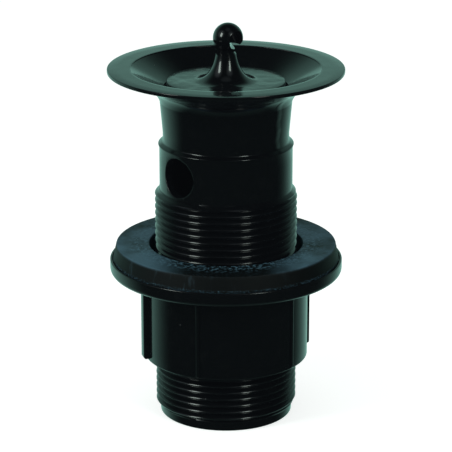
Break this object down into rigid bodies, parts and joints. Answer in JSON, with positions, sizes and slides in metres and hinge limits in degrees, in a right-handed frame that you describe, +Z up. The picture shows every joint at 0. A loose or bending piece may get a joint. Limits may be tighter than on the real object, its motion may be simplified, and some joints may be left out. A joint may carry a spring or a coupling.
{
  "type": "sink drain",
  "caption": "Plastic sink drain with a flared bowl, overflow ports, a lift-out stopper with a hooked ball, and a screwed outlet coupler clamping a rubber washer.",
  "frame": {"origin": "centre of the outlet's end, which the part stands on", "axes": "+Z up the drain's axis towards the rim; the two overflow ports look along -Y and +Y"},
  "size_m": [0.0788, 0.0788, 0.1355],
  "materials": {
    "body_plastic": "glossy black moulded plastic",
    "stopper_plastic": "glossy black moulded plastic",
    "coupler_plastic": "glossy black moulded plastic",
    "washer_rubber": "matte slate grey rubber",
    "seal_rubber": "matte black rubber"
  },
  "bodies": {
    "drain_body": {"drain_body": "body_plastic"},
    "stopper": {"stopper": "stopper_plastic", "stopper_seal": "seal_rubber"},
    "washer": {"clamping_washer": "washer_rubber"},
    "coupler": {"outlet_coupler": "coupler_plastic"}
  },
  "joints": [
    {"name": "stopper_lift", "type": "slide", "parent": "drain_body", "child": "stopper", "axis": [0, 0, 1], "range_m": [0, 0.04]},
    {"name": "washer_slide", "type": "slide", "parent": "drain_body", "child": "washer", "axis": [0, 0, 1], "range_m": [-0.00694, 0.01733]},
    {"name": "coupler_turn", "type": "hinge", "parent": "washer", "child": "coupler", "pos_m": [0, 0, 0.038], "axis": [0, 0, 1], "range_deg": [-1080, 2700]}
  ],
  "couplings": [
    {"joint": "washer_slide", "follows": "coupler_turn", "m_per_rad": 0.00036749}
  ]
}
